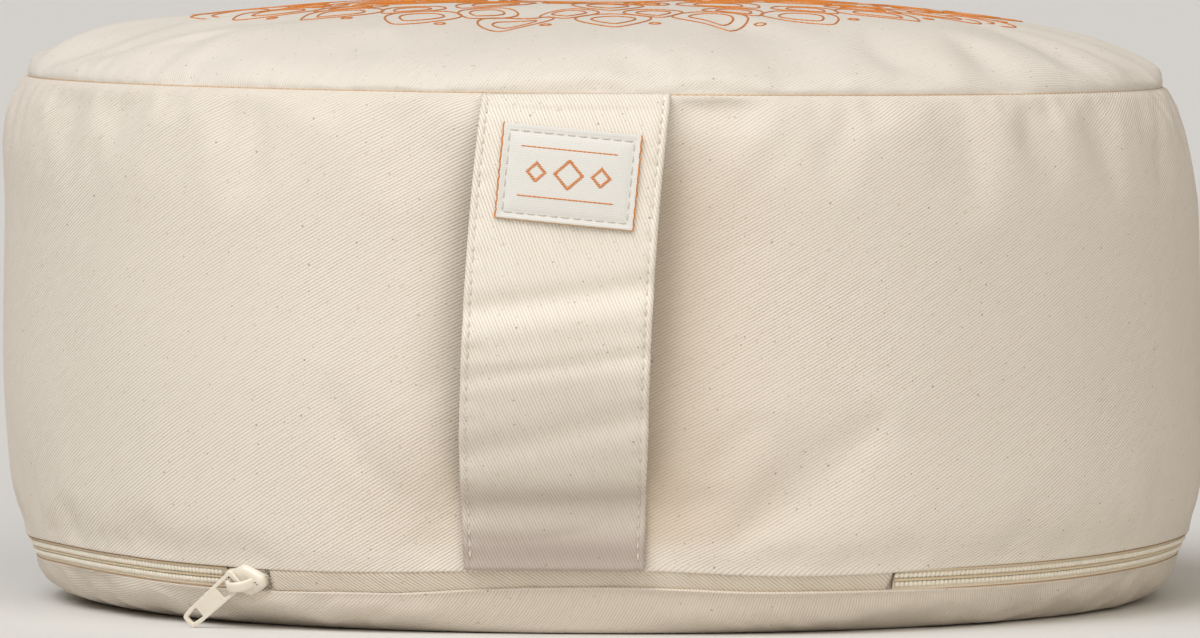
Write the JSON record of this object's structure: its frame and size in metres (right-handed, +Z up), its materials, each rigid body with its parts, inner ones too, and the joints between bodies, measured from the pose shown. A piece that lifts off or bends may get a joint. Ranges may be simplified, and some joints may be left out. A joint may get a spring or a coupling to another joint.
{
  "type": "zafu meditation cushion",
  "caption": "Round, firmly filled zafu meditation cushion of undyed cotton twill with a crowned top, a sewn-in strap handle, a small label and a coil zip round its lower seam.",
  "frame": {"origin": "centre of the flat base, on the surface that the cushion rests on", "axes": "+Z up through the crown, -Y to the front with the strap handle, +X to the right as seen from the front"},
  "size_m": [0.3499, 0.357, 0.1734],
  "materials": {
    "cotton_twill": "undyed cotton twill with small seed flecks, matt",
    "strap_twill": "undyed cotton twill cut on the other grain, matt",
    "woven_label": "fine off-white woven tape with an orange woven ornament",
    "coil_zip": "cream nylon coil on a woven tape",
    "enamelled_zip": "cream enamel on cast zinc, semi-gloss"
  },
  "bodies": {
    "root": {"cushion_body": "cotton_twill", "handle_strap": "strap_twill", "handle_label": "woven_label", "zip_chain": "coil_zip", "zip_guard": "cotton_twill", "zip_slider": "enamelled_zip", "zip_pull": "enamelled_zip"}
  },
  "joints": []
}
